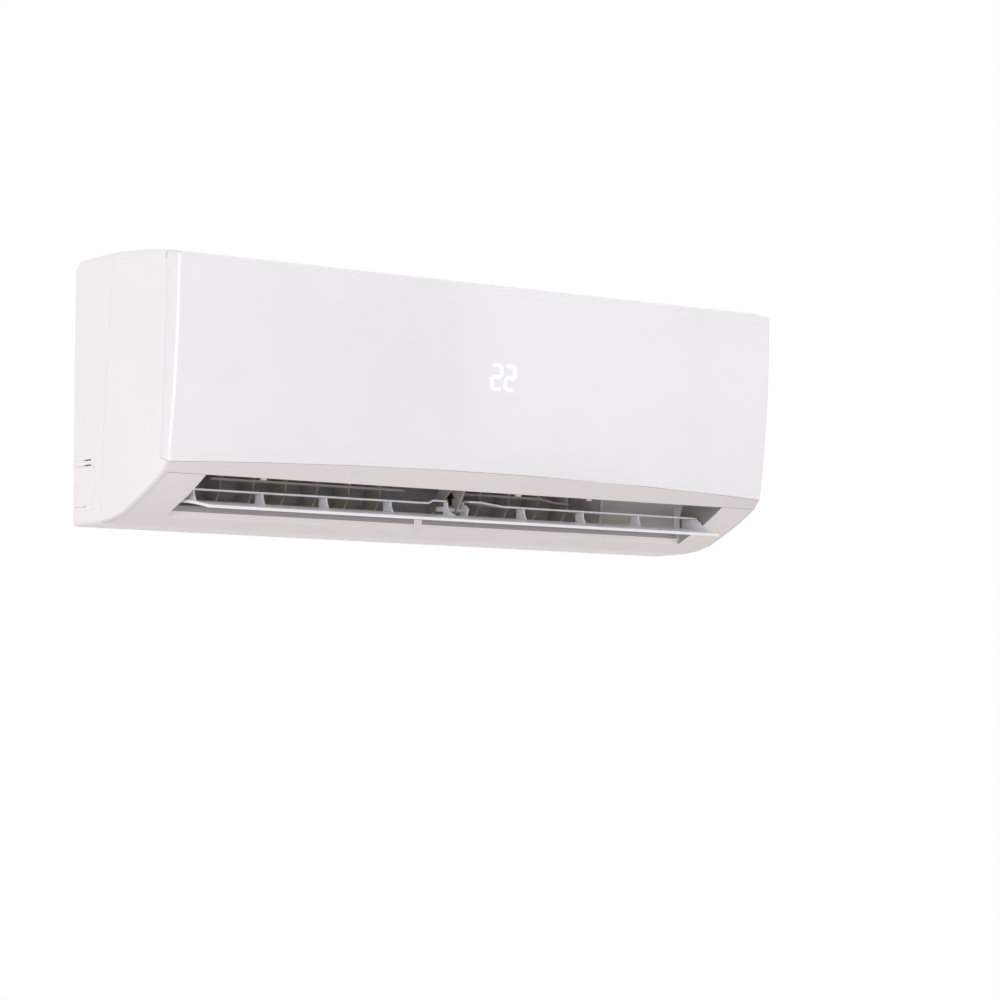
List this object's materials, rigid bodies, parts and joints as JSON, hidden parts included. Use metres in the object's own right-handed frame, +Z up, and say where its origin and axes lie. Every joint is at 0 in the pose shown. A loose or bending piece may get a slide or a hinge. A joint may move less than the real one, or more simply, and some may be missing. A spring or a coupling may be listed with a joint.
{
  "type": "split air conditioner indoor unit",
  "caption": "Wall-mounted indoor unit of a split air conditioner: a long white case with a hinged gloss front panel, a tilting louvre, hand-set vanes and a number display.",
  "frame": {"origin": "centre of the wall plate's flat back, which lies on the wall", "axes": "+X along the unit, to the right as seen from the room; +Y into the wall; +Z up"},
  "size_m": [0.805, 0.1942, 0.2789],
  "materials": {
    "gloss_white": "high gloss white",
    "casing_white": "satin white",
    "lower_white": "satin warm white",
    "louvre_white": "satin cool white",
    "duct_grey": "satin grey",
    "vane_grey": "satin warm grey",
    "fan_grey": "satin dark grey",
    "filter_mesh": "fine plastic mesh in a plastic frame",
    "fins": "bare fins",
    "copper": "bare copper tube",
    "brass": "turned",
    "steel": "zinc-plated sheet",
    "rubber": "moulded",
    "box_plastic": "matte off-white",
    "board": "solder mask green",
    "lens": "diffusing lens"
  },
  "bodies": {
    "casing": {"wall_plate": "steel", "rear_chassis": "casing_white", "front_frame": "casing_white", "outlet_surround": "lower_white", "pipe_cover_left": "casing_white", "pipe_cover_right": "casing_white", "display_housing": "box_plastic", "display_board": "board", "display_lens": "lens", "coil_front_lower": "fins", "coil_front_upper": "fins", "coil_rear": "fins", "coil_end_left": "copper", "coil_end_right": "copper", "suction_pipe": "copper", "liquid_pipe": "copper", "flare_nut_large": "brass", "flare_nut_small": "brass", "fan_bearing": "rubber", "bearing_holder": "box_plastic", "fan_motor": "steel", "motor_clamp": "box_plastic", "drain_pan": "duct_grey", "drain_spigot": "rubber", "drain_plug": "rubber", "control_box": "box_plastic", "control_box_cover": "steel", "main_board": "board", "terminal_block": "box_plastic", "room_sensor": "box_plastic", "louvre_motor": "box_plastic", "louvre_bracket": "vane_grey", "screw_cap": "lower_white", "casing_screw": "steel"},
    "panel": {"front_panel": "gloss_white"},
    "louvre": {"louvre_outer_blade": "louvre_white", "louvre_inner_left": "louvre_white", "louvre_inner_right": "louvre_white"},
    "fan": {"cross_flow_fan": "fan_grey", "motor_shaft": "steel"},
    "left_filter": {"filter_left": "filter_mesh"},
    "right_filter": {"filter_right": "filter_mesh"},
    "button": {"manual_button": "casing_white"},
    "vane_left_1": {"vane_left_1": "vane_grey"},
    "vane_left_2": {"vane_left_2": "vane_grey"},
    "vane_left_3": {"vane_left_3": "vane_grey"},
    "vane_left_4": {"vane_left_4": "vane_grey"},
    "vane_left_5": {"vane_left_5": "vane_grey"},
    "vane_left_6": {"vane_left_6": "vane_grey"},
    "vane_right_1": {"vane_right_1": "vane_grey"},
    "vane_right_2": {"vane_right_2": "vane_grey"},
    "vane_right_3": {"vane_right_3": "vane_grey"},
    "vane_right_4": {"vane_right_4": "vane_grey"},
    "left_bar": {"link_bar_left": "vane_grey"},
    "right_bar": {"link_bar_right": "vane_grey"}
  },
  "joints": [
    {"name": "panel_hinge", "type": "hinge", "parent": "casing", "child": "panel", "pos_m": [0, -0.17651, 0.126], "axis": [-1, 0, 0], "range_deg": [0, 60]},
    {"name": "louvre_tilt", "type": "hinge", "parent": "casing", "child": "louvre", "pos_m": [0, -0.1185, -0.109], "axis": [1, 0, 0], "range_deg": [-32, 8]},
    {"name": "fan_spin", "type": "hinge", "parent": "casing", "child": "fan", "pos_m": [0, -0.08001, -0.028], "axis": [1, 0, 0], "continuous": true},
    {"name": "left_filter_lift", "type": "slide", "parent": "casing", "child": "left_filter", "axis": [0, 0, 1], "range_m": [0, 0.008]},
    {"name": "right_filter_lift", "type": "slide", "parent": "casing", "child": "right_filter", "axis": [0, 0, 1], "range_m": [0, 0.008]},
    {"name": "button_press", "type": "slide", "parent": "casing", "child": "button", "axis": [0, 1, 0], "range_m": [0, 0.0015], "stiffness_N_per_m": 400, "springref_m": -0.001},
    {"name": "vane_left_1_turn", "type": "hinge", "parent": "casing", "child": "vane_left_1", "pos_m": [-0.2859, -0.079, -0.11799], "axis": [0, -0.2419, 0.9703], "range_deg": [-35, 35]},
    {"name": "vane_left_2_turn", "type": "hinge", "parent": "casing", "child": "vane_left_2", "pos_m": [-0.2448, -0.079, -0.11799], "axis": [0, -0.2419, 0.9703], "range_deg": [-35, 35]},
    {"name": "vane_left_3_turn", "type": "hinge", "parent": "casing", "child": "vane_left_3", "pos_m": [-0.2037, -0.079, -0.11799], "axis": [0, -0.2419, 0.9703], "range_deg": [-35, 35]},
    {"name": "vane_left_4_turn", "type": "hinge", "parent": "casing", "child": "vane_left_4", "pos_m": [-0.1626, -0.079, -0.11799], "axis": [0, -0.2419, 0.9703], "range_deg": [-35, 35]},
    {"name": "vane_left_5_turn", "type": "hinge", "parent": "casing", "child": "vane_left_5", "pos_m": [-0.1215, -0.079, -0.11799], "axis": [0, -0.2419, 0.9703], "range_deg": [-35, 35]},
    {"name": "vane_left_6_turn", "type": "hinge", "parent": "casing", "child": "vane_left_6", "pos_m": [-0.0804, -0.079, -0.11799], "axis": [0, -0.2419, 0.9703], "range_deg": [-35, 35]},
    {"name": "left_bar_pivot", "type": "hinge", "parent": "vane_left_1", "child": "left_bar", "pos_m": [-0.2859, -0.09763, -0.08873], "axis": [0, -0.2419, 0.9703], "range_deg": [-35, 35]},
    {"name": "vane_right_1_turn", "type": "hinge", "parent": "casing", "child": "vane_right_1", "pos_m": [0.0554, -0.079, -0.11799], "axis": [0, -0.2419, 0.9703], "range_deg": [-35, 35]},
    {"name": "vane_right_2_turn", "type": "hinge", "parent": "casing", "child": "vane_right_2", "pos_m": [0.0965, -0.079, -0.11799], "axis": [0, -0.2419, 0.9703], "range_deg": [-35, 35]},
    {"name": "vane_right_3_turn", "type": "hinge", "parent": "casing", "child": "vane_right_3", "pos_m": [0.1376, -0.079, -0.11799], "axis": [0, -0.2419, 0.9703], "range_deg": [-35, 35]},
    {"name": "vane_right_4_turn", "type": "hinge", "parent": "casing", "child": "vane_right_4", "pos_m": [0.1787, -0.079, -0.11799], "axis": [0, -0.2419, 0.9703], "range_deg": [-35, 35]},
    {"name": "right_bar_pivot", "type": "hinge", "parent": "vane_right_1", "child": "right_bar", "pos_m": [0.0554, -0.09763, -0.08873], "axis": [0, -0.2419, 0.9703], "range_deg": [-35, 35]}
  ],
  "couplings": [
    {"joint": "vane_left_2_turn", "follows": "vane_left_1_turn", "ratio": 1},
    {"joint": "vane_left_3_turn", "follows": "vane_left_1_turn", "ratio": 1},
    {"joint": "vane_left_4_turn", "follows": "vane_left_1_turn", "ratio": 1},
    {"joint": "vane_left_5_turn", "follows": "vane_left_1_turn", "ratio": 1},
    {"joint": "vane_left_6_turn", "follows": "vane_left_1_turn", "ratio": 1},
    {"joint": "left_bar_pivot", "follows": "vane_left_1_turn", "ratio": -1},
    {"joint": "vane_right_2_turn", "follows": "vane_right_1_turn", "ratio": 1},
    {"joint": "vane_right_3_turn", "follows": "vane_right_1_turn", "ratio": 1},
    {"joint": "vane_right_4_turn", "follows": "vane_right_1_turn", "ratio": 1},
    {"joint": "right_bar_pivot", "follows": "vane_right_1_turn", "ratio": -1}
  ]
}
